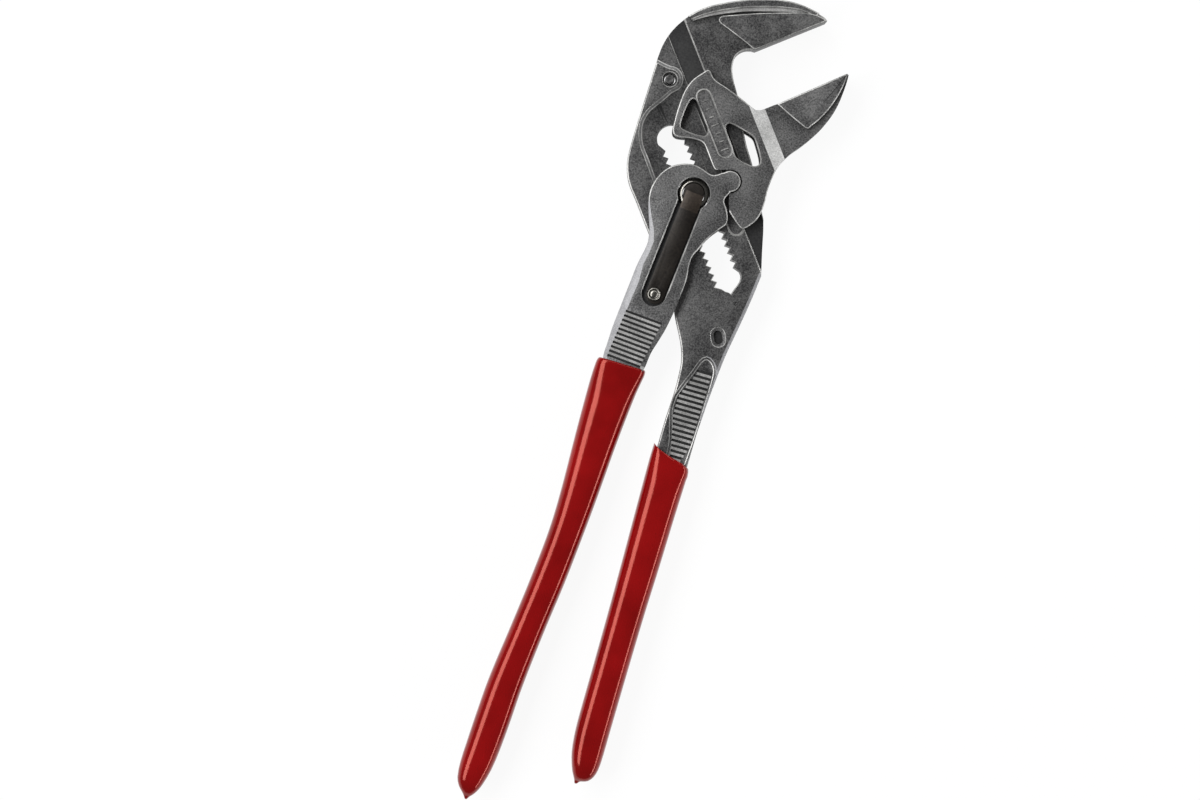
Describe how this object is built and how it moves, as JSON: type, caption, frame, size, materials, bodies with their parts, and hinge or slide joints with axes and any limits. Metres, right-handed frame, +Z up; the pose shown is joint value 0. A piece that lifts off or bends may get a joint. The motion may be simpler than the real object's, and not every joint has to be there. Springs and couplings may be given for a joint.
{
  "type": "pliers wrench",
  "caption": "Adjustable pliers wrench with smooth parallel jaws, a push-button toothed slide and dipped grips.",
  "frame": {"origin": "centre of the underside of the tool's box, as it lies flat with its spring side up", "axes": "+Y along the handles towards the jaws, +X to the side the jaws open to, +Z up off the bench"},
  "size_m": [0.0596, 0.267, 0.0152],
  "materials": {
    "forged_steel": "dark satin, bead blasted",
    "polished_steel": "polished",
    "spring_steel": "blued, satin",
    "dipped_plastic": "glossy dipped coating"
  },
  "bodies": {
    "fixed_lever": {"fixed_jaw_lever": "forged_steel", "right_grip": "dipped_plastic", "stop_pin": "polished_steel"},
    "carriage": {"hinge_bolt": "polished_steel"},
    "lock": {"locking_pin": "spring_steel", "push_button": "polished_steel"},
    "swing_lever": {"pivot_lever": "forged_steel", "left_grip": "dipped_plastic", "leaf_spring": "spring_steel", "spring_rivet": "polished_steel"},
    "jaw": {"sliding_jaw": "forged_steel"}
  },
  "joints": [
    {"name": "size_adjust", "type": "slide", "parent": "fixed_lever", "child": "carriage", "axis": [0.6074, -0.7944, 0], "range_m": [-0.01708, 0.0122]},
    {"name": "handle_swing", "type": "hinge", "parent": "carriage", "child": "swing_lever", "pos_m": [-0.00668, 0.06762, 0.008], "axis": [0, 0, 1], "range_deg": [-20, 1]},
    {"name": "jaw_lift", "type": "slide", "parent": "carriage", "child": "jaw", "axis": [-0.6074, 0.7944, 0], "range_m": [-0.0043, 0.0003]},
    {"name": "button_press", "type": "slide", "parent": "carriage", "child": "lock", "axis": [0, 0, 1], "range_m": [0, 0.002], "stiffness_N_per_m": 1500, "springref_m": -0.002, "deforming": ["leaf_spring"]}
  ],
  "couplings": [
    {"joint": "jaw_lift", "follows": "handle_swing", "m_per_rad": 0.0119}
  ]
}
